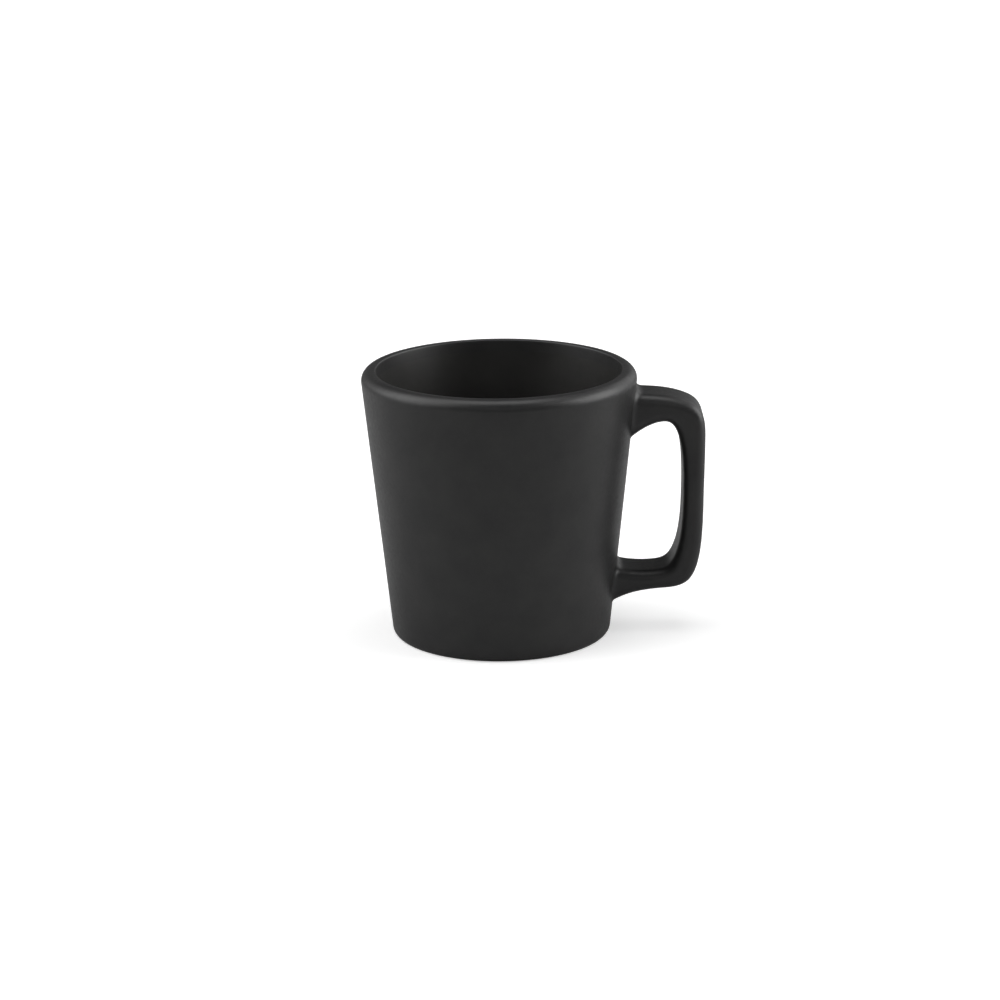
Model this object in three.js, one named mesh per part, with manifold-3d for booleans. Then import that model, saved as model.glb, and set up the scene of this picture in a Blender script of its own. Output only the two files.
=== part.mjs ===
// A tapered stoneware mug with a squared loop handle.
// The clay cup and the clay handle are formed apart, stuck together with slip and then glazed twice:
// a liner poured inside, and one dark matte coat over everything outside except the foot.
// Millimetres, +Z up. The origin is on the surface the mug stands on, in the middle of its footprint.

import * as THREE from 'three';
import { mergeVertices } from 'three/addons/utils/BufferGeometryUtils.js';
import Module from 'manifold-3d';

const wasm = await Module();
wasm.setup();

const degrees = THREE.MathUtils.degToRad;

// Driving dimensions of the glazed mug. Radii are measured from the axis of the cup.
const height = 82.6;
const rimRadius = 42.12;           // where the straight outer wall would meet the top
const wallLean = degrees(6);       // outward lean of the wall
const wallThickness = 4.75;        // measured level
const coat = 0.35;                 // thickness of each glaze
const outerRoll = 3.2;             // rounding of the rim's outer edge
const innerRoll = 0.5;             // rounding of the rim's inner edge
const linerTop = height - 3.6;     // the liner glaze stops at this height, under the lip
const cornerRound = 1.8;           // rounding of the clay where the wall meets the foot
const cornerGlazed = degrees(50);  // how far the outer coat wraps under that rounding
const floorTop = 6;                // inside floor, above the table
const floorRound = 8;              // rounding between the inside floor and the wall
const footInner = 27;              // the bare foot is a ring from here out to the rounded corner
const recessDepth = 1.2;           // hollow of the underside inside the foot ring
const recessSlope = 1.5;

const handleReach = 62.3;          // from the axis to the outer face of the handle's grip
const handleWidth = 16.5;          // across the strap
const handleEdge = 2.2;            // rounding of the strap's long edges
const slipThickness = 0.8;         // slip between the wall and each end of the handle
const slipBead = 0.9;              // how far the slip squeezes out round the strap
const clearance = 0.05;            // left between solids that are cut to fit each other

const roundSteps = 60;             // facets round the axis

const wallRadius = (z) => rimRadius - (height - z) * Math.tan(wallLean);
const liningRadius = (z) => wallRadius(z) - wallThickness;

// Points of an arc in a profile, from one angle to another
function arc(centre, radius, from, to, steps) {
  const points = [];
  for (let i = 0; i <= steps; i++) {
    const angle = from + (to - from) * i / steps;
    points.push(new THREE.Vector2(centre.x + radius * Math.cos(angle), centre.y + radius * Math.sin(angle)));
  }
  return points;
}

const level = degrees(90);
const clayWall = (z) => wallRadius(z) - coat / Math.cos(wallLean);
const rimCentreZ = height - outerRoll;
const rimCentre = new THREE.Vector2(wallRadius(rimCentreZ) - outerRoll / Math.cos(wallLean), rimCentreZ);
const lipCentreZ = height - innerRoll;
const lipCentre = new THREE.Vector2(liningRadius(lipCentreZ) + innerRoll / Math.cos(wallLean), lipCentreZ);
const cornerCentre = new THREE.Vector2(clayWall(cornerRound) - cornerRound / Math.cos(wallLean), cornerRound);

// The cup's axis is off the middle, because the handle counts in the footprint
const axisX = (rimCentre.x + outerRoll - handleReach) / 2;

// Where the outer coat and the liner meet, at a distance under the glazed surface
function linerEdge(depth) {
  return new THREE.Vector2(liningRadius(linerTop) + depth / Math.cos(wallLean), linerTop);
}

// Outside of the cup from the glaze line under the corner, up the wall and over the rim to the
// liner's edge. grow is the distance outside the clay: 0 for the clay, coat for the glazed surface.
function outside(grow) {
  return [
    ...arc(cornerCentre, cornerRound + grow, -cornerGlazed, -wallLean, 2),
    ...arc(rimCentre, outerRoll - coat + grow, -wallLean, level, 5),
    ...arc(lipCentre, innerRoll - coat + grow, level, 2 * level - wallLean, 3),
    linerEdge(coat - grow),
  ];
}

// Inside of the cup from the liner's edge down the wall and across the floor to the axis.
// grow is the distance inside the clay.
function inside(grow) {
  const round = floorRound + coat - grow;
  const floorZ = floorTop - coat + grow;
  const centreZ = floorZ + round;
  const radiusAt = (z) => liningRadius(z) + (coat - grow) / Math.cos(wallLean);
  const centre = new THREE.Vector2(radiusAt(centreZ) - round / Math.cos(wallLean), centreZ);
  return [
    linerEdge(coat - grow),
    ...arc(centre, round, -wallLean, -level, 4),
    new THREE.Vector2(0, floorZ),
  ];
}

// Underside of the clay from the axis out to the glaze line
function underside() {
  return [
    new THREE.Vector2(0, recessDepth),
    new THREE.Vector2(footInner - recessSlope, recessDepth),
    new THREE.Vector2(footInner, 0),
    ...arc(cornerCentre, cornerRound, -level, -cornerGlazed, 2).slice(0, -1),
  ];
}

// Triangles of a geometry with shared corners merged and needle triangles dropped
function weld(geometry) {
  geometry.deleteAttribute('normal');
  geometry.deleteAttribute('uv');
  const merged = mergeVertices(geometry, 1e-4);
  const corners = merged.index.array;
  const kept = [];
  for (let i = 0; i < corners.length; i += 3) {
    const [a, b, c] = corners.slice(i, i + 3);
    if (a !== b && b !== c && c !== a) {
      kept.push(a, b, c);
    }
  }
  merged.setIndex(kept);
  return merged;
}

// A solid of revolution about +Z from a profile of (radius, height) points
function turned(points) {
  const geometry = new THREE.LatheGeometry(points, roundSteps);
  geometry.rotateX(level);
  return weld(geometry);
}

function toManifold(geometry) {
  const vertProperties = new Float32Array(geometry.attributes.position.array);
  const triVerts = new Uint32Array(geometry.index.array);
  return new wasm.Manifold(new wasm.Mesh({ numProp: 3, vertProperties, triVerts }));
}

function toGeometry(solid) {
  const mesh = solid.getMesh();
  const geometry = new THREE.BufferGeometry();
  geometry.setAttribute('position', new THREE.BufferAttribute(mesh.vertProperties, 3));
  geometry.setIndex(new THREE.BufferAttribute(mesh.triVerts, 1));
  return geometry;
}

// Side view of the handle as (distance from the axis, height): a squared C, open towards the cup.
// The upper arm is deep where it leaves the wall and the lower arm spreads downwards there.
function handleOutline() {
  const root = 29;                 // both arms start inside the wall and are cut back to it
  const face = handleReach;
  const outline = new THREE.Shape();
  outline.moveTo(root, 76);
  outline.lineTo(45, 75.25);
  outline.bezierCurveTo(50.5, 74.95, 54.2, 74.2, 57.6, 72.65);
  outline.bezierCurveTo(60.6, 71.15, face, 69.1, face, 62.5);
  outline.bezierCurveTo(face, 54, face - 0.4, 46, face - 0.4, 40);
  outline.bezierCurveTo(face - 0.65, 27.5, face - 1.5, 21.5, 58.4, 17.75);
  outline.bezierCurveTo(56.7, 15.1, 54, 14.35, 49.5, 14.1);
  outline.bezierCurveTo(44.2, 13.75, 39.9, 13, 36.4, 11.3);
  outline.lineTo(root, 8);
  outline.lineTo(root, 21.85);
  outline.lineTo(36.5, 20.55);
  outline.bezierCurveTo(39.6, 19.95, 42.5, 19.7, 45.5, 19.85);
  outline.bezierCurveTo(48.4, 20, 50.4, 20.3, 51.8, 22.1);
  outline.bezierCurveTo(54.1, 25.2, 55.2, 31, 55.5, 39);
  outline.bezierCurveTo(55.75, 45, 55.7, 52, 55.3, 56);
  outline.bezierCurveTo(54.55, 62.3, 53.3, 66.6, 50.2, 66.8);
  outline.bezierCurveTo(46.6, 66.9, 42.6, 64.4, 39.5, 61.8);
  outline.lineTo(root, 54);
  outline.closePath();
  return outline;
}

// The whole strap, both arms running on into the wall. grow is the distance outside the clay.
function strap(grow) {
  const edge = handleEdge - coat;
  const geometry = new THREE.ExtrudeGeometry(handleOutline(), {
    depth: handleWidth - 2 * handleEdge,
    bevelThickness: edge + grow,
    bevelSize: edge + grow,
    bevelOffset: -handleEdge,
    bevelSegments: 2,
    curveSegments: 6,
  });
  geometry.rotateX(level);
  geometry.translate(0, handleWidth / 2 - handleEdge, 0);
  return toManifold(weld(geometry));
}

// The filled outside of the cup, used to cut what meets the wall. grow is the distance outside the clay.
function wallFill(grow) {
  const profile = [
    new THREE.Vector2(0, 0),
    ...outside(grow).slice(0, -4),
    new THREE.Vector2(0, height + grow),
  ];
  profile.splice(1, 0, new THREE.Vector2(profile[1].x, 0));
  return toManifold(turned(profile));
}

// Slip squeezed flat against the wall round the end of a strap
function slip(grow) {
  return strap(slipBead + grow).intersect(wallFill(slipThickness + grow));
}

const middle = (floorTop + height) / 2;

// Keeps the part of a solid above or below the middle of the cup
function half(solid, side) {
  const box = new THREE.BoxGeometry(4 * rimRadius, 4 * rimRadius, height);
  box.translate(0, 0, middle + side * height / 2);
  return solid.intersect(toManifold(weld(box)));
}

const cupBody = turned([...underside(), ...outside(0), ...inside(0).slice(1)]);

const handle = strap(0).subtract(wallFill(slipThickness + clearance));

const slipRing = slip(0).subtract(wallFill(clearance));

const cupCoat = toManifold(turned([...outside(coat), ...outside(0).reverse(), outside(coat)[0]]));
const handleCoat = strap(coat).add(slip(coat)).subtract(wallFill(0));
const outerGlaze = cupCoat.add(handleCoat).subtract(strap(clearance)).subtract(slip(clearance));

const linerGlaze = turned([...inside(0).reverse(), ...inside(coat)]);

const clay = new THREE.MeshStandardMaterial({ color: 0xcabfae, roughness: 0.9, metalness: 0 });
const driedSlip = new THREE.MeshStandardMaterial({ color: 0xbdb19f, roughness: 0.92, metalness: 0 });
const matteGlaze = new THREE.MeshStandardMaterial({ color: 0x2b2b2c, roughness: 0.5, metalness: 0 });
const liner = new THREE.MeshStandardMaterial({ color: 0x232323, roughness: 0.4, metalness: 0 });

function piece(name, geometry, material) {
  const mesh = new THREE.Mesh(geometry, material);
  mesh.name = name;
  mug.add(mesh);
}

const mug = new THREE.Group();
mug.position.x = axisX;
piece('cup_body', cupBody, clay);
piece('handle', toGeometry(handle), clay);
piece('upper_slip_joint', toGeometry(half(slipRing, 1)), driedSlip);
piece('lower_slip_joint', toGeometry(half(slipRing, -1)), driedSlip);
piece('outer_glaze', toGeometry(outerGlaze), matteGlaze);
piece('liner_glaze', linerGlaze, liner);

export default mug;
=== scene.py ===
import math

import bmesh
import bpy
import numpy as np
from mathutils import Matrix, Vector
from mathutils.geometry import delaunay_2d_cdt


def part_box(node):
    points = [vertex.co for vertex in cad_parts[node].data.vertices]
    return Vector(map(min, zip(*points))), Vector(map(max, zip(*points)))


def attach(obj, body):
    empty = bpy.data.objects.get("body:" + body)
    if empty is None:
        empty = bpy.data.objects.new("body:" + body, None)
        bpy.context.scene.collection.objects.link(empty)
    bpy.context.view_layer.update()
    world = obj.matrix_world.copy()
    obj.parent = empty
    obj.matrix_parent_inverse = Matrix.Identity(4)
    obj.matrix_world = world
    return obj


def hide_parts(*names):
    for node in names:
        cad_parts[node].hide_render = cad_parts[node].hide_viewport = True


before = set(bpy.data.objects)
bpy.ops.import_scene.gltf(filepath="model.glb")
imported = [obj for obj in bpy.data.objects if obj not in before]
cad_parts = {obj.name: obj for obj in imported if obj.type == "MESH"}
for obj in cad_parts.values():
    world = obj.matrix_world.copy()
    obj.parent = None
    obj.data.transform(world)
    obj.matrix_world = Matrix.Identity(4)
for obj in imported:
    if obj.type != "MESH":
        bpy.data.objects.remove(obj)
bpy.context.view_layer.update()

# Shapes are worked out in millimetres from the axis of the cup, then put in the frame in metres.
mm = 0.001
clayLow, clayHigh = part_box("cup_body")
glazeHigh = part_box("outer_glaze")[1]
axisX = (clayLow.x + clayHigh.x) / 2

cup = {
    "height": glazeHigh.z / mm,
    "rimRadius": 42.12,        # where the straight outside would meet the top
    "wallLean": 6.0,           # degrees, outwards
    "wallThickness": 4.75,     # measured level
    "coat": 0.35,              # thickness of each glaze
    "outerRoll": 3.2,
    "innerRoll": 0.5,
    "linerDrop": 3.6,          # from the top of the rim down to the edge of the liner glaze
    "cornerRound": 1.8,        # clay rounding between wall and foot
    "cornerGlazed": 50.0,      # degrees of that rounding that the outer glaze wraps
    "floorTop": 6.0,
    "floorRound": 8.0,
    "footInner": 27.0,         # the bare foot is a ring from here out
    "footRound": 0.5,
    "recessDepth": 1.2,
    "segments": 192,
    "rowPitch": 1.3,           # spacing of mesh rows up the wall
    "lipPitch": 0.6,           # spacing of the rows between the lip and the liner's edge
}

lean = math.radians(cup["wallLean"])
height = cup["height"]
linerTop = height - cup["linerDrop"]


def wallRadius(z):
    return cup["rimRadius"] - (height - z) * math.tan(lean)


def liningRadius(z):
    return wallRadius(z) - cup["wallThickness"]


def arcPoints(centre, radius, start, stop, steps):
    angle = np.linspace(start, stop, steps + 1)
    return np.stack([centre[0] + radius * np.cos(angle), centre[1] + radius * np.sin(angle)], axis=1)


def linePoints(start, stop, pitch):
    steps = max(1, round(math.dist(start, stop) / pitch))
    return np.linspace(start, stop, steps + 1)


rimLevel = height - cup["outerRoll"]
rimCentre = (wallRadius(rimLevel) - cup["outerRoll"] / math.cos(lean), rimLevel)
lipLevel = height - cup["innerRoll"]
lipCentre = (liningRadius(lipLevel) + cup["innerRoll"] / math.cos(lean), lipLevel)
cornerWall = wallRadius(cup["cornerRound"]) - cup["coat"] / math.cos(lean)
cornerCentre = (cornerWall - cup["cornerRound"] / math.cos(lean), cup["cornerRound"])


def outsideProfile(grow):
    # From the glaze line under the corner, up the wall and over the rim to the liner's edge.
    # grow is the distance outside the clay.
    corner = arcPoints(cornerCentre, cup["cornerRound"] + grow, -math.radians(cup["cornerGlazed"]), -lean, 4)
    rim = arcPoints(rimCentre, cup["outerRoll"] - cup["coat"] + grow, -lean, math.pi / 2, 14)
    lip = arcPoints(lipCentre, cup["innerRoll"] - cup["coat"] + grow, math.pi / 2, math.pi - lean, 8)
    wall = linePoints(corner[-1], rim[0], cup["rowPitch"])
    edge = (liningRadius(linerTop) + (cup["coat"] - grow) / math.cos(lean), linerTop)
    under = linePoints(lip[-1], edge, cup["lipPitch"])
    return np.vstack([corner[:-1], wall, rim[1:], lip, under[1:]])


def insideProfile(grow):
    # From the liner's edge down the wall and across the floor. grow is the distance inside the clay.
    rounding = cup["floorRound"] + cup["coat"] - grow
    floorZ = cup["floorTop"] - cup["coat"] + grow
    centreZ = floorZ + rounding
    wallX = liningRadius(centreZ) + (cup["coat"] - grow) / math.cos(lean)
    corner = arcPoints((wallX - rounding / math.cos(lean), centreZ), rounding, -lean, -math.pi / 2, 16)
    edge = (liningRadius(linerTop) + (cup["coat"] - grow) / math.cos(lean), linerTop)
    wall = linePoints(edge, corner[0], 2 * cup["rowPitch"])
    floor = linePoints(corner[-1], (0, floorZ), 2 * cup["rowPitch"])
    return np.vstack([wall[:-1], corner, floor[1:]])


def undersideProfile():
    # From the middle of the recess out to the glaze line, over the rounded foot ring
    turn = cup["footRound"]
    inner = cup["footInner"] + turn
    recess = linePoints((0, cup["recessDepth"]), (inner - 2 * turn, cup["recessDepth"]), 3 * cup["rowPitch"])
    hollow = arcPoints((inner - 2 * turn, cup["recessDepth"] - turn), turn, math.pi / 2, 0, 4)
    ring = arcPoints((inner, turn), turn, math.pi, 1.5 * math.pi, 4)
    corner = arcPoints(cornerCentre, cup["cornerRound"], -math.pi / 2, -math.radians(cup["cornerGlazed"]), 4)
    face = linePoints(ring[-1], corner[0], cup["rowPitch"])
    return np.vstack([recess[:-1], hollow, ring, face[1:-1], corner[:-1]])


handle = {
    "reach": (glazeHigh.x - axisX) / mm,   # outer face of the grip, from the axis
    "width": 16.5,
    "edge": 2.8,               # rounding of the strap's long edges
    "fillet": 2.4,             # glazed hollow where strap and wall meet
    "filletSteps": 6,
    "slipThickness": 0.8,
    "clearance": 0.05,
    "cornerSteps": 6,
    "sideSteps": 7,
    "widthSteps": 9,
    "endRows": 5,              # rows between a fillet and the first whole row
    "ringSteps": 4,
}
reach = handle["reach"]
root = 29.0                    # both arms run on into the wall as far as this

# Side view of the strap, its outer edge and its inner edge, from the upper arm's root round to the
# lower arm's. Each row is a straight line's end or a curve's two control points and end, then the
# number of steps. Both edges have the same rows, so that a section joins them at every step.
outerEdge = [
    ((root, 76.0),),
    ((45.0, 75.25), 14),
    ((50.5, 74.95), (54.2, 74.2), (57.6, 72.65), 14),
    ((60.6, 71.15), (reach, 69.1), (reach, 62.5), 16),
    ((reach, 54.0), (reach - 0.4, 46.0), (reach - 0.4, 40.0), 12),
    ((reach - 0.65, 27.5), (reach - 1.5, 21.5), (58.4, 17.75), 14),
    ((56.7, 15.1), (54.0, 14.35), (49.5, 14.1), 12),
    ((44.2, 13.75), (39.9, 13.0), (36.4, 11.3), 12),
    ((root, 8.0), 8),
]
innerEdge = [
    ((root, 54.0),),
    ((39.5, 61.8), 14),
    ((42.6, 64.4), (46.6, 66.9), (50.2, 66.8), 14),
    ((53.3, 66.6), (54.55, 62.3), (55.3, 56.0), 16),
    ((55.7, 52.0), (55.75, 45.0), (55.5, 39.0), 12),
    ((55.2, 31.0), (54.1, 25.2), (51.8, 22.1), 14),
    ((50.4, 20.3), (48.4, 20.0), (45.5, 19.85), 12),
    ((42.5, 19.7), (39.6, 19.95), (36.5, 20.55), 12),
    ((root, 21.85), 8),
]


def drawEdge(rows):
    points = [np.array(rows[0][0])]
    for row in rows[1:]:
        *controls, end, steps = row
        start = points[-1]
        end = np.array(end)
        for t in np.linspace(0, 1, steps + 1)[1:]:
            if controls:
                a, b = (np.array(c) for c in controls)
                ends = (1 - t)**3 * start + t**3 * end
                points.append(ends + 3 * t * (1 - t)**2 * a + 3 * t**2 * (1 - t) * b)
            else:
                points.append(start + (end - start) * t)
    return np.array(points)


outerLine = drawEdge(outerEdge)
innerLine = drawEdge(innerEdge)
strapOutline = np.vstack([outerLine, innerLine[::-1]])


def outlineDistance(points, outline):
    # Signed distance in the side view, negative inside the closed outline
    a = outline
    b = np.roll(outline, -1, axis=0)
    along = b - a
    best = np.full(len(points), np.inf)
    inside = np.zeros(len(points), bool)
    for start in range(0, len(points), 4000):
        part = slice(start, start + 4000)
        gap = points[part, None] - a
        t = np.clip((gap * along).sum(2) / (along**2).sum(1), 0, 1)
        best[part] = np.linalg.norm(gap - along * t[..., None], axis=2).min(1)
        level = points[part, None, 1]
        spans = (a[:, 1] > level) != (b[:, 1] > level)
        cross = a[:, 0] + (level - a[:, 1]) * along[:, 0] / np.where(along[:, 1] == 0, 1, along[:, 1])
        inside[part] = (spans & (points[part, None, 0] < cross)).sum(1) % 2 == 1
    return np.where(inside, -best, best)


def strapDistance(points):
    # Distance outside the glazed strap: the side view carried across its width, long edges rounded
    edge = handle["edge"]
    side = outlineDistance(points[:, [0, 2]], strapOutline) + edge
    across = np.abs(points[:, 1]) - handle["width"] / 2 + edge
    outside = np.hypot(np.maximum(side, 0), np.maximum(across, 0))
    return outside + np.minimum(np.maximum(side, across), 0) - edge


def wallDistance(points):
    # Distance outside the glazed wall
    return (np.hypot(points[:, 0], points[:, 1]) - wallRadius(points[:, 2])) * math.cos(lean)


def slopeOf(distance, points, step=0.01):
    slope = np.empty_like(points)
    for axis in range(3):
        nudge = np.zeros(3)
        nudge[axis] = step
        slope[:, axis] = distance(points + nudge) - distance(points - nudge)
    return slope / np.linalg.norm(slope, axis=1, keepdims=True)


def settle(distance, points, level=0.0, rounds=3):
    # Moves points along the slope until they lie at that distance
    for _ in range(rounds):
        points = points - (distance(points) - level)[:, None] * slopeOf(distance, points)
    return points


def sectionPoints(outer, inner):
    # One rounded rectangle across the strap, between a point of the outer edge and one of the inner
    down = inner - outer
    thickness = np.linalg.norm(down)
    down = down / thickness
    radius = handle["edge"]
    tall = thickness / 2 - radius
    wide = handle["width"] / 2 - radius
    quarter = np.linspace(0, math.pi / 2, handle["cornerSteps"] + 1)
    points = []
    signs = [(1, 1), (-1, 1), (-1, -1), (1, -1)]
    for k, (a, b) in enumerate(signs):
        for t in quarter + k * math.pi / 2:
            points.append((a * tall + radius * math.cos(t), b * wide + radius * math.sin(t)))
        nextA, nextB = signs[(k + 1) % 4]
        start = points[-1]
        end = (start[0] + (nextA - a) * tall, start[1] + (nextB - b) * wide)
        count = handle["widthSteps"] if k % 2 else handle["sideSteps"]
        points += [tuple(np.add(start, np.subtract(end, start) * j / count)) for j in range(1, count)]
    points = np.array(points)
    centre = (outer + inner) / 2
    flat = centre + points[:, :1] * down
    return np.stack([flat[:, 0], points[:, 1], flat[:, 1]], axis=1)


def strapGrid(grow):
    # Rows of section points from root to root, on the strap's surface grown by that distance
    rows = np.array([sectionPoints(o, i) for o, i in zip(outerLine, innerLine)])
    settled = settle(strapDistance, rows.reshape(-1, 3), grow)
    return settled.reshape(rows.shape)


def alongRows(grid, station):
    # Points of the grid at a fractional row for each column
    low = np.clip(np.floor(station).astype(int), 0, len(grid) - 2)
    part = (station - low)[:, None]
    columns = np.arange(grid.shape[1])
    return grid[low, columns] * (1 - part) + grid[low + 1, columns] * part


def firstCrossing(values, rising):
    # Fractional row where each column first rises through zero, counted from one end
    ordered = values if rising else values[::-1]
    after = np.argmax(ordered > 0, axis=0)
    columns = np.arange(values.shape[1])
    below = ordered[after - 1, columns]
    above = ordered[after, columns]
    station = after - 1 + below / (below - above)
    return station if rising else len(values) - 1 - station


def cutRows(grid, first, last):
    # Rows from the first stations to the last, one station a column. Whole rows in between stay.
    low = math.ceil(first.max()) + 2
    high = math.floor(last.min()) - 2
    n = handle["endRows"]
    upper = [alongRows(grid, first + (low - first) * k / n) for k in range(n)]
    lower = [alongRows(grid, high + (last - high) * (k + 1) / n) for k in range(n)]
    return np.array(upper + list(grid[low:high + 1]) + lower)


def inFrame(points):
    points = np.asarray(points, float) * mm
    points[:, 0] += axisX
    return points


def makeMesh(name, points, faces):
    mesh = bpy.data.meshes.new(name)
    mesh.from_pydata(inFrame(points).tolist(), [], faces)
    work = bmesh.new()
    work.from_mesh(mesh)
    bmesh.ops.remove_doubles(work, verts=work.verts, dist=1e-7)
    loose = [v for v in work.verts if not v.link_faces]
    bmesh.ops.delete(work, geom=loose, context="VERTS")
    bmesh.ops.recalc_face_normals(work, faces=work.faces)
    work.to_mesh(mesh)
    work.free()
    piece = bpy.data.objects.new(name, mesh)
    bpy.context.scene.collection.objects.link(piece)
    return piece


def joinRows(rows, closed=True):
    # Quads between neighbouring rows of vertex numbers, each row a closed ring
    faces = []
    for a, b in zip(rows[:-1], rows[1:]):
        n = len(a)
        for k in range(n if closed else n - 1):
            m = (k + 1) % n
            faces.append((a[k], a[m], b[m], b[k]))
    return faces


class Skin:
    # Points and faces of one mesh while it is being put together
    def __init__(self):
        self.points = []
        self.faces = []

    def add(self, points):
        start = len(self.points)
        self.points += [tuple(p) for p in points]
        return list(range(start, start + len(points)))

    def cap(self, ring, level):
        # Closes a ring with smaller rings that lie on the wall at that distance
        points = np.array([self.points[k] for k in ring])
        centre = points.mean(0)
        rows = [ring]
        for k in range(1, handle["ringSteps"]):
            shrunk = centre + (points - centre) * (1 - k / handle["ringSteps"])
            rows.append(self.add(settle(wallDistance, shrunk, level)))
        self.faces += joinRows(rows)
        middle = self.add(settle(wallDistance, centre[None], level))[0]
        last = rows[-1]
        self.faces += [(last[k], last[(k + 1) % len(last)], middle) for k in range(len(last))]


def freshCopy(piece):
    # The piece with its modifiers worked into a plain mesh
    graph = bpy.context.evaluated_depsgraph_get()
    mesh = bpy.data.meshes.new_from_object(piece.evaluated_get(graph), depsgraph=graph)
    piece.modifiers.clear()
    old = piece.data
    piece.data = mesh
    bpy.data.meshes.remove(old)
    mesh.name = piece.name
    return piece


def finishPiece(piece, material, sharpAngle=50):
    piece.data.materials.clear()
    piece.data.materials.append(material)
    piece.data.polygons.foreach_set("use_smooth", [True] * len(piece.data.polygons))
    piece.data.set_sharp_from_angle(angle=math.radians(sharpAngle))
    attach(piece, "root")
    return piece


def turningTree():
    # Geometry nodes that turn a profile into a closed body about the cup's axis.
    # The profile is a mesh of points (radius, 0, height) in order.
    tree = bpy.data.node_groups.new("turnAboutAxis", "GeometryNodeTree")
    face = tree.interface
    face.new_socket("Profile", in_out="INPUT", socket_type="NodeSocketGeometry")
    face.new_socket("Segments", in_out="INPUT", socket_type="NodeSocketInt")
    face.new_socket("Axis X", in_out="INPUT", socket_type="NodeSocketFloat")
    face.new_socket("Material", in_out="INPUT", socket_type="NodeSocketMaterial")
    face.new_socket("Body", in_out="OUTPUT", socket_type="NodeSocketGeometry")
    link = tree.links.new
    node = tree.nodes.new

    given = node("NodeGroupInput")
    size = node("GeometryNodeAttributeDomainSize")
    size.component = "MESH"
    link(given.outputs["Profile"], size.inputs["Geometry"])
    count = size.outputs["Point Count"]

    columns = node("FunctionNodeIntegerMath")
    columns.operation = "ADD"
    columns.inputs[1].default_value = 1
    link(given.outputs["Segments"], columns.inputs[0])
    grid = node("GeometryNodeMeshGrid")
    link(columns.outputs[0], grid.inputs["Vertices X"])
    link(count, grid.inputs["Vertices Y"])

    number = node("GeometryNodeInputIndex")
    row = node("FunctionNodeIntegerMath")
    row.operation = "MODULO"
    link(number.outputs[0], row.inputs[0])
    link(count, row.inputs[1])
    column = node("FunctionNodeIntegerMath")
    column.operation = "DIVIDE_FLOOR"
    link(number.outputs[0], column.inputs[0])
    link(count, column.inputs[1])

    place = node("GeometryNodeInputPosition")
    sample = node("GeometryNodeSampleIndex")
    sample.data_type = "FLOAT_VECTOR"
    sample.domain = "POINT"
    link(given.outputs["Profile"], sample.inputs["Geometry"])
    link(place.outputs[0], sample.inputs["Value"])
    link(row.outputs[0], sample.inputs["Index"])

    share = node("ShaderNodeMath")
    share.operation = "DIVIDE"
    link(column.outputs[0], share.inputs[0])
    link(given.outputs["Segments"], share.inputs[1])
    angle = node("ShaderNodeMath")
    angle.operation = "MULTIPLY"
    angle.inputs[1].default_value = 2 * math.pi
    link(share.outputs[0], angle.inputs[0])
    turned = node("ShaderNodeVectorRotate")
    turned.rotation_type = "Z_AXIS"
    link(sample.outputs["Value"], turned.inputs["Vector"])
    link(angle.outputs[0], turned.inputs["Angle"])

    shift = node("ShaderNodeCombineXYZ")
    link(given.outputs["Axis X"], shift.inputs["X"])
    moved = node("ShaderNodeVectorMath")
    moved.operation = "ADD"
    link(turned.outputs[0], moved.inputs[0])
    link(shift.outputs[0], moved.inputs[1])
    put = node("GeometryNodeSetPosition")
    link(grid.outputs["Mesh"], put.inputs["Geometry"])
    link(moved.outputs[0], put.inputs["Position"])

    weld = node("GeometryNodeMergeByDistance")
    weld.inputs["Distance"].default_value = 1e-6
    link(put.outputs[0], weld.inputs["Geometry"])
    real = node("GeometryNodeRealizeInstances")
    link(weld.outputs[0], real.inputs[0])
    paint = node("GeometryNodeSetMaterial")
    link(real.outputs[0], paint.inputs["Geometry"])
    link(given.outputs["Material"], paint.inputs["Material"])
    made = node("NodeGroupOutput")
    link(paint.outputs[0], made.inputs["Body"])
    return tree


def turnedPiece(name, tree, profile, material):
    points = [(r * mm, 0, z * mm) for r, z in profile]
    mesh = bpy.data.meshes.new(name)
    mesh.from_pydata(points, [(k, k + 1) for k in range(len(points) - 1)], [])
    piece = bpy.data.objects.new(name, mesh)
    bpy.context.scene.collection.objects.link(piece)
    modifier = piece.modifiers.new("turn", "NODES")
    modifier.node_group = tree
    given = {"Segments": cup["segments"], "Axis X": axisX, "Material": material}
    for socket in tree.interface.items_tree:
        if socket.name in given and socket.in_out == "INPUT":
            modifier[socket.identifier] = given[socket.name]
    freshCopy(piece)
    work = bmesh.new()
    work.from_mesh(piece.data)
    bmesh.ops.dissolve_degenerate(work, edges=work.edges, dist=1e-8)
    bmesh.ops.recalc_face_normals(work, faces=work.faces)
    work.to_mesh(piece.data)
    work.free()
    return piece


def wallPoints(profile, angles):
    # Rows of points where each point of a profile is carried round the axis
    radius = profile[:, :1]
    place = np.broadcast_arrays(radius * np.cos(angles), radius * np.sin(angles), profile[:, 1:2])
    return np.stack(place, 2)


def ballCentres(grid, rising):
    # Where a ball as round as the fillet touches both the strap and the wall, one for each column
    ball = handle["fillet"]
    flat = grid.reshape(-1, 3)
    centres = (flat + ball * slopeOf(strapDistance, flat)).reshape(grid.shape)
    values = (wallDistance(centres.reshape(-1, 3)) - ball).reshape(grid.shape[:2])
    station = firstCrossing(values, rising)
    centre = alongRows(centres, station)
    for _ in range(3):
        centre = settle(wallDistance, centre, ball, 1)
        centre = settle(strapDistance, centre, ball, 1)
    return station, centre


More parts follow.
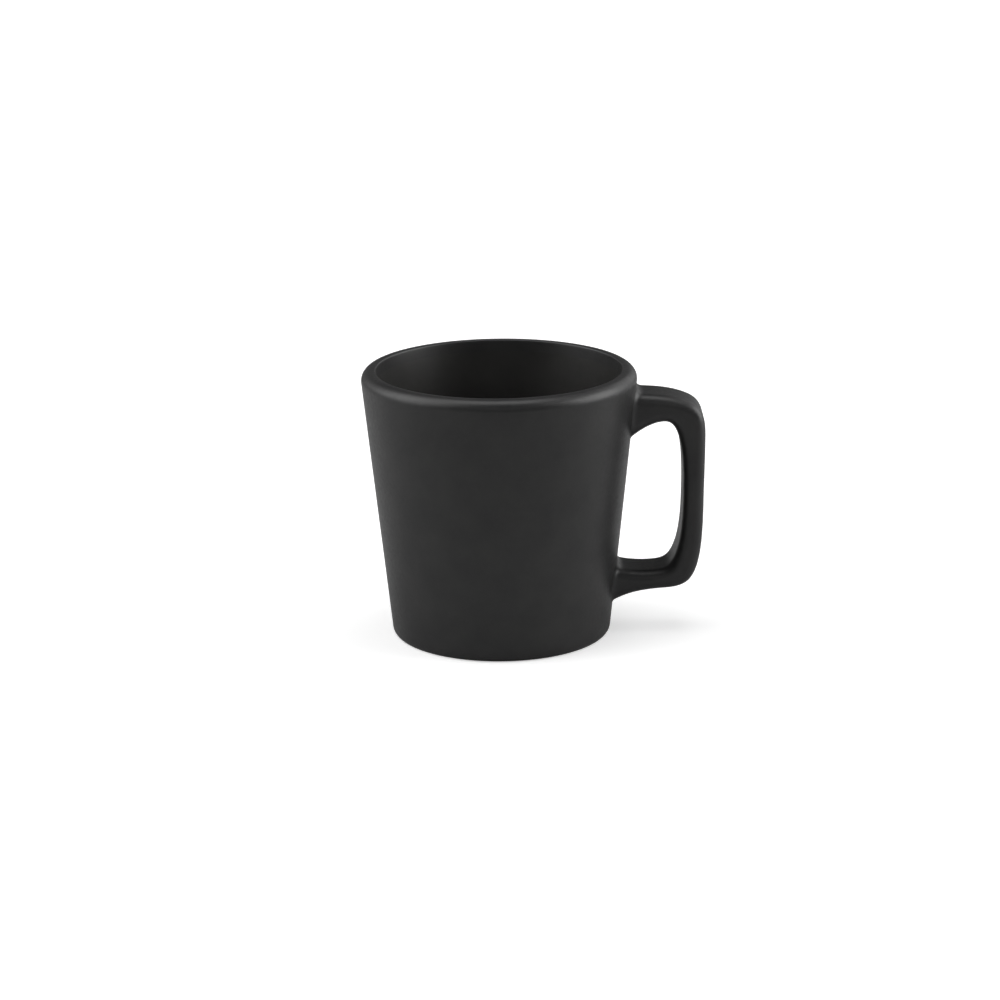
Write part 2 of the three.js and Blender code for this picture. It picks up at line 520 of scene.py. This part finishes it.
def filletRows(centre, depth=0):
    # Rows from the wall to the strap round the hollow, that far under the glaze.
    # The first lies on the wall and the last on the strap.
    ball = handle["fillet"] + depth
    toWall = -slopeOf(wallDistance, centre)
    toStrap = -slopeOf(strapDistance, centre)
    angle = np.arccos(np.clip((toWall * toStrap).sum(1), -1, 1))[:, None]
    rows = []
    for t in np.linspace(0, 1, handle["filletSteps"] + 1):
        turn = (np.sin((1 - t) * angle) * toWall + np.sin(t * angle) * toStrap) / np.sin(angle)
        rows.append(centre + ball * turn)
    return rows


def unrolled(points):
    # The wall laid flat: distance round the axis and height
    points = np.asarray(points)
    return np.stack([np.arctan2(points[:, 1], points[:, 0]) * patch["rollRadius"], points[:, 2]], axis=1)


patch = {
    "columns": 11,             # each side of the handle, meshed round the ends of the strap
    "rollRadius": 36.0,
    "margin": 3.0,             # below the lower fillet
    "headroom": 1.3,           # above the upper fillet, into the rounding of the rim
    "keepOff": 0.9,            # between the fillets' edges and the regular points
}


def glazeSkin():
    # The outside of the cup, the rim and the strap as one skin, open at its two glaze lines
    skin = Skin()
    segments = cup["segments"]
    angles = np.arange(segments) * 2 * math.pi / segments
    profile = outsideProfile(cup["coat"])
    rows = [skin.add(row) for row in wallPoints(profile, angles)]

    grid = strapGrid(0)
    upperStation, upperCentre = ballCentres(grid, True)
    lowerStation, lowerCentre = ballCentres(grid, False)
    upper = filletRows(upperCentre)
    lower = filletRows(lowerCentre)
    strap = cutRows(grid, upperStation, lowerStation)
    strap = settle(strapDistance, strap.reshape(-1, 3)).reshape(strap.shape)
    upperRows = [skin.add(row) for row in upper]
    lowerRows = [skin.add(row) for row in lower]
    strapRows = [skin.add(row) for row in strap[1:-1]]
    skin.faces += joinRows(upperRows + strapRows + lowerRows[::-1])

    # The wall round the ends of the strap is meshed to fit them
    low = min(row[:, 2].min() for row in lower) - patch["margin"]
    high = max(row[:, 2].max() for row in upper)
    top = high + patch["headroom"]
    onWall = [k for k, (r, z) in enumerate(profile) if low < z < top and r > rimCentre[0]]
    first, last = onWall[0], onWall[-1]
    columns = [k % segments for k in range(-patch["columns"], patch["columns"] + 1)]
    border = [rows[first][c] for c in columns]
    border += [rows[r][columns[-1]] for r in range(first + 1, last + 1)]
    border += [rows[last][c] for c in columns[-2::-1]]
    border += [rows[r][columns[0]] for r in range(last - 1, first, -1)]
    inner = [rows[r][c] for r in range(first + 1, last) for c in columns[1:-1]]
    loops = [upperRows[0], lowerRows[0]]
    flatLoops = [unrolled([skin.points[k] for k in loop]) for loop in loops]
    flatInner = unrolled([skin.points[k] for k in inner])
    room = np.min([outlineDistance(flatInner, loop) for loop in flatLoops], axis=0)
    inner = [k for k, d in zip(inner, room) if d > patch["keepOff"]]
    numbers = border + loops[0] + loops[1] + inner
    edges = []
    start = 0
    for ring in (border, *loops):
        n = len(ring)
        edges += [(start + k, start + (k + 1) % n) for k in range(n)]
        start += n
    flat = unrolled([skin.points[k] for k in numbers])
    flatPoints, _, faces, origins, _, _ = delaunay_2d_cdt([Vector(p) for p in flat], edges, [], 0, 1e-7)
    middles = np.array([np.mean([flatPoints[k] for k in f], axis=0) for f in faces])
    clear = np.min([outlineDistance(middles, loop) for loop in flatLoops], axis=0) > 0
    for f, free in zip(faces, clear):
        if free:
            skin.faces.append(tuple(numbers[origins[k][0]] for k in f))

    hidden = set(columns[:-1])
    for r in range(len(rows) - 1):
        for c in range(segments):
            if not (first <= r < last and c in hidden):
                m = (c + 1) % segments
                skin.faces.append((rows[r][c], rows[r][m], rows[r + 1][m], rows[r + 1][c]))
    return skin


def strapBody(name, grow, wallLevels):
    # A closed length of the strap between distances from the wall, capped along the wall
    grid = strapGrid(grow)
    away = wallDistance(grid.reshape(-1, 3)).reshape(grid.shape[:2])
    skin = Skin()
    level = wallLevels[0]
    rows = cutRows(grid, firstCrossing(away - level, True), firstCrossing(away - level, False))
    rings = [skin.add(settle(strapDistance, row, grow)) for row in rows]
    skin.faces += joinRows(rings)
    skin.cap(rings[0], level)
    skin.cap(rings[-1], level)
    return makeMesh(name, skin.points, skin.faces)


def slipPad(name, rising):
    # Slip squeezed flat between the wall and one end of the strap, and smoothed into a hollow round it
    grid = strapGrid(handle["clearance"] - cup["coat"])
    away = wallDistance(grid.reshape(-1, 3)).reshape(grid.shape[:2])
    wallLevel = -cup["coat"]
    endLevel = wallLevel + handle["slipThickness"]
    _, centre = ballCentres(strapGrid(0), rising)
    hollow = filletRows(centre, cup["coat"])
    tops = wallDistance(hollow[-1])
    skin = Skin()
    rings = [skin.add(row) for row in hollow[:-1]]
    for t in np.linspace(0, 1, 5):
        level = tops + (endLevel - tops) * t
        rings.append(skin.add(alongRows(grid, firstCrossing(away - level, rising))))
    skin.faces += joinRows(rings)
    skin.cap(rings[0], wallLevel)
    skin.cap(rings[-1], endLevel)
    return makeMesh(name, skin.points, skin.faces)


def newMaterial(name):
    material = bpy.data.materials.new(name)
    material.use_nodes = True
    nodes = material.node_tree.nodes
    return material, nodes, material.node_tree.links.new, nodes["Principled BSDF"]


def noiseOver(nodes, link, size, detail, spread=0.5):
    # Value noise in object space, with lumps of about that size in metres
    place = nodes.get("place") or nodes.new("ShaderNodeTexCoord")
    place.name = "place"
    noise = nodes.new("ShaderNodeTexNoise")
    noise.inputs["Scale"].default_value = 1 / size
    noise.inputs["Detail"].default_value = detail
    noise.inputs["Roughness"].default_value = spread
    link(place.outputs["Object"], noise.inputs["Vector"])
    return noise.outputs["Fac"]


def between(nodes, link, value, low, high):
    # Spreads the middle of a noise over a range of numbers
    spread = nodes.new("ShaderNodeMapRange")
    spread.inputs["From Min"].default_value = 0.3
    spread.inputs["From Max"].default_value = 0.7
    spread.inputs["To Min"].default_value = low
    spread.inputs["To Max"].default_value = high
    link(value, spread.inputs["Value"])
    return spread.outputs["Result"]


def mixedColour(nodes, link, factor, first, second):
    mix = nodes.new("ShaderNodeMix")
    mix.data_type = "RGBA"
    mix.inputs[6].default_value = (*first, 1) if isinstance(first, tuple) else (0, 0, 0, 1)
    if not isinstance(first, tuple):
        link(first, mix.inputs[6])
    mix.inputs[7].default_value = (*second, 1)
    link(factor, mix.inputs[0])
    return mix.outputs[2]


def raised(nodes, link, shader, height, depth, strength=1.0):
    # Adds a relief of that depth in metres to what the shader already has
    bump = nodes.new("ShaderNodeBump")
    bump.inputs["Distance"].default_value = depth
    bump.inputs["Strength"].default_value = strength
    link(height, bump.inputs["Height"])
    if shader.inputs["Normal"].is_linked:
        link(shader.inputs["Normal"].links[0].from_socket, bump.inputs["Normal"])
    link(bump.outputs["Normal"], shader.inputs["Normal"])


matteFinish = {
    "deep": (0.0165, 0.0165, 0.017),       # where the coat lies thick
    "thin": (0.0255, 0.0252, 0.025),       # where it has run thin
    "poolSize": 0.011,
    "smoothest": 0.36,
    "roughest": 0.45,
    "peelSize": 0.0011,                    # dimples of the sprayed coat
    "peelDepth": 0.000012,
    "grainSize": 0.00022,                  # crystals that make the matte
    "grainDepth": 0.000003,
    "specular": 0.5,
}

linerFinish = {
    "deep": (0.0220, 0.0217, 0.0207),
    "thin": (0.0310, 0.0305, 0.0290),
    "poolSize": 0.017,
    "smoothest": 0.34,
    "roughest": 0.42,
    "peelSize": 0.0016,
    "peelDepth": 0.000012,
    "grainSize": 0.00026,
    "grainDepth": 0.000002,
    "specular": 0.45,
}


def glazeMaterial(name, finish):
    material, nodes, link, shader = newMaterial(name)
    pools = noiseOver(nodes, link, finish["poolSize"], 4)
    colour = mixedColour(nodes, link, between(nodes, link, pools, 0, 1), finish["deep"], finish["thin"])
    link(colour, shader.inputs["Base Color"])
    grain = noiseOver(nodes, link, finish["grainSize"], 2)
    peel = noiseOver(nodes, link, finish["peelSize"], 3)
    link(between(nodes, link, peel, finish["smoothest"], finish["roughest"]), shader.inputs["Roughness"])
    shader.inputs["Specular IOR Level"].default_value = finish["specular"]
    raised(nodes, link, shader, peel, finish["peelDepth"])
    raised(nodes, link, shader, grain, finish["grainDepth"])
    return material


clayFinish = {
    "body": (0.56, 0.48, 0.37),
    "flush": (0.47, 0.36, 0.26),           # warmer where the kiln's flame reached
    "speck": (0.12, 0.085, 0.06),          # iron specks
    "flushSize": 0.014,
    "speckSize": 0.0016,
    "speckReach": 0.2,                     # share of a speck's cell that it fills
    "sandSize": 0.0004,
    "sandDepth": 0.00004,
    "roughness": 0.88,
}

slipFinish = {
    "body": (0.54, 0.47, 0.37),
    "flush": (0.46, 0.38, 0.29),
    "speck": (0.2, 0.15, 0.11),
    "flushSize": 0.006,
    "speckSize": 0.0022,
    "speckReach": 0.14,
    "sandSize": 0.0007,
    "sandDepth": 0.00002,
    "roughness": 0.8,
}


def bareMaterial(name, finish):
    material, nodes, link, shader = newMaterial(name)
    flush = noiseOver(nodes, link, finish["flushSize"], 5, 0.6)
    colour = mixedColour(nodes, link, between(nodes, link, flush, 0, 1), finish["body"], finish["flush"])
    cells = nodes.new("ShaderNodeTexVoronoi")
    cells.inputs["Scale"].default_value = 1 / finish["speckSize"]
    link(nodes["place"].outputs["Object"], cells.inputs["Vector"])
    # A speck only in the cells whose own random colour is dark
    chosen = nodes.new("ShaderNodeSeparateColor")
    link(cells.outputs["Color"], chosen.inputs["Color"])
    reach = nodes.new("ShaderNodeMath")
    reach.operation = "MULTIPLY"
    reach.inputs[1].default_value = finish["speckReach"]
    link(chosen.outputs["Red"], reach.inputs[0])
    inside = nodes.new("ShaderNodeMath")
    inside.operation = "LESS_THAN"
    link(cells.outputs["Distance"], inside.inputs[0])
    link(reach.outputs[0], inside.inputs[1])
    link(mixedColour(nodes, link, inside.outputs[0], colour, finish["speck"]), shader.inputs["Base Color"])
    sand = noiseOver(nodes, link, finish["sandSize"], 3, 0.65)
    shader.inputs["Roughness"].default_value = finish["roughness"]
    raised(nodes, link, shader, sand, finish["sandDepth"])
    raised(nodes, link, shader, flush, finish["sandDepth"])
    return material


glaze = glazeMaterial("matteBlackGlaze", matteFinish)
liner = glazeMaterial("blackLinerGlaze", linerFinish)
clay = bareMaterial("bareStoneware", clayFinish)
slip = bareMaterial("firedSlip", slipFinish)

print("turning the clay cup and its liner")
tree = turningTree()
cupProfile = np.vstack([undersideProfile(), outsideProfile(0), insideProfile(0)[1:]])
cupBody = finishPiece(turnedPiece("cupBody", tree, cupProfile, clay), clay)
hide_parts("cup_body")
linerProfile = np.vstack([insideProfile(0)[::-1], insideProfile(cup["coat"])])
linerGlaze = finishPiece(turnedPiece("linerGlaze", tree, linerProfile, liner), liner)
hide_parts("liner_glaze")

print("casting the handle and sticking it on")
endLevel = handle["slipThickness"] + handle["clearance"] - cup["coat"]
handleClay = finishPiece(strapBody("handleClay", -cup["coat"], [endLevel]), clay)
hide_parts("handle")
upperSlip = finishPiece(slipPad("upperSlip", True), slip)
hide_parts("upper_slip_joint")
lowerSlip = finishPiece(slipPad("lowerSlip", False), slip)
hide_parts("lower_slip_joint")

print("glazing the outside")
skin = glazeSkin()
outerGlaze = makeMesh("outerGlaze", skin.points, skin.faces)
thicken = outerGlaze.modifiers.new("thickness", "SOLIDIFY")
thicken.thickness = cup["coat"] * mm
thicken.offset = -1
thicken.use_even_offset = True
freshCopy(outerGlaze)
finishPiece(outerGlaze, glaze)
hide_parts("outer_glaze")
print("outer glaze", len(outerGlaze.data.vertices), "points", len(outerGlaze.data.polygons), "faces")

studio = {
    "distance": 0.9146,        # from the lens to the target
    "target": (-0.0001, 0, 0.04095),  # from the middle of the foot
    "elevation": 16.2,
    "azimuth": 0.0,
    "roll": -0.6,
    "lens": 107.5,
    "floorSize": 0.8,
    "floorColour": (0.9, 0.9, 0.9, 1),
    "floorBounce": (0.5, 0.5, 0.5, 1),
    "floorGlow": 0.42,
    "backdrop": 1.2,
}


def aimCamera():
    camera = bpy.data.objects.new("camera", bpy.data.cameras.new("camera"))
    bpy.context.scene.collection.objects.link(camera)
    up = math.radians(studio["elevation"])
    side = math.radians(studio["azimuth"])
    target = Vector((axisX, 0, 0)) + Vector(studio["target"])
    away = Vector((math.sin(side) * math.cos(up), -math.cos(side) * math.cos(up), math.sin(up)))
    camera.location = target + away * studio["distance"]
    roll = Matrix.Rotation(math.radians(studio["roll"]), 3, "Z").to_quaternion()
    camera.rotation_euler = (away.to_track_quat("Z", "Y") @ roll).to_euler()
    camera.data.lens = studio["lens"]
    camera.data.sensor_width = 36
    camera.data.clip_end = 100
    bpy.context.scene.camera = camera


def layFloor():
    size = studio["floorSize"]
    mesh = bpy.data.meshes.new("floor")
    angles = np.linspace(0, 2 * math.pi, 96, endpoint=False)
    mesh.from_pydata([(size * math.cos(t), size * math.sin(t), 0) for t in angles], [], [range(len(angles))])
    floor = bpy.data.objects.new("floor", mesh)
    bpy.context.scene.collection.objects.link(floor)
    material, nodes, link, shader = newMaterial("paleFloor")
    # Little of the floor's own light goes back up to the cup
    seen = nodes.new("ShaderNodeLightPath")
    tone = nodes.new("ShaderNodeMix")
    tone.data_type = "RGBA"
    tone.inputs[6].default_value = studio["floorBounce"]
    tone.inputs[7].default_value = studio["floorColour"]
    link(seen.outputs["Is Camera Ray"], tone.inputs["Factor"])
    link(tone.outputs[2], shader.inputs["Base Color"])
    shader.inputs["Emission Color"].default_value = (1, 1, 1, 1)
    glow = nodes.new("ShaderNodeMath")
    glow.operation = "MULTIPLY"
    glow.inputs[1].default_value = studio["floorGlow"]
    link(seen.outputs["Is Camera Ray"], glow.inputs[0])
    link(glow.outputs[0], shader.inputs["Emission Strength"])
    shader.inputs["Roughness"].default_value = 1
    shader.inputs["Specular IOR Level"].default_value = 0
    mesh.materials.append(material)


# Soft boxes round the cup, all aimed at it: place, width, height, and radiance
softBoxes = {
    "left": ((-1.0, 0, 0.45), 0.9, 0.9, 1.0),
    "leftHigh": ((-0.7, 0, 1.0), 0.7, 0.8, 1.0),
    "leftWide": ((-1.3, 0, 1.0), 2.0, 1.6, 1.35),
    "right": ((1.0, 0, 0.45), 0.9, 0.9, 3.1),
    "rightBack": ((0.75, 0.75, 0.45), 0.9, 0.9, 0.8),
    "rightWide": ((1.3, 0, 1.0), 2.0, 1.6, 0.45),
    "top": ((0, 0, 1.2), 0.8, 0.8, 2.3),
    "front": ((0, -1.3, 0.6), 0.9, 0.6, 0.6),
    "backLow": ((0, 1.2, 0.3), 1.2, 0.5, 0.15),
    "backLowLeft": ((-1.0, 0.9, 0.3), 0.9, 0.5, 0.45),
}


def lightStudio():
    for name, (place, width, tall, radiance) in softBoxes.items():
        light = bpy.data.lights.new(name, "AREA")
        light.shape = "RECTANGLE"
        light.size = width
        light.size_y = tall
        light.energy = math.pi * width * tall * radiance
        box = bpy.data.objects.new(name, light)
        bpy.context.scene.collection.objects.link(box)
        box.location = place
        toCup = Vector((axisX, 0, height * mm / 2)) - box.location
        box.rotation_euler = toCup.to_track_quat("-Z", "Y").to_euler()
    # White behind everything that the camera sees, and dark for the cup
    world = bpy.data.worlds.new("studio")
    bpy.context.scene.world = world
    world.use_nodes = True
    nodes = world.node_tree.nodes
    link = world.node_tree.links.new
    back = nodes["Background"]
    back.inputs["Color"].default_value = (1, 1, 1, 1)
    seen = nodes.new("ShaderNodeLightPath")
    strength = nodes.new("ShaderNodeMath")
    strength.operation = "MULTIPLY"
    strength.inputs[1].default_value = studio["backdrop"]
    link(seen.outputs["Is Camera Ray"], strength.inputs[0])
    link(strength.outputs[0], back.inputs["Strength"])


aimCamera()
layFloor()
lightStudio()
bpy.context.scene.view_settings.view_transform = "Standard"
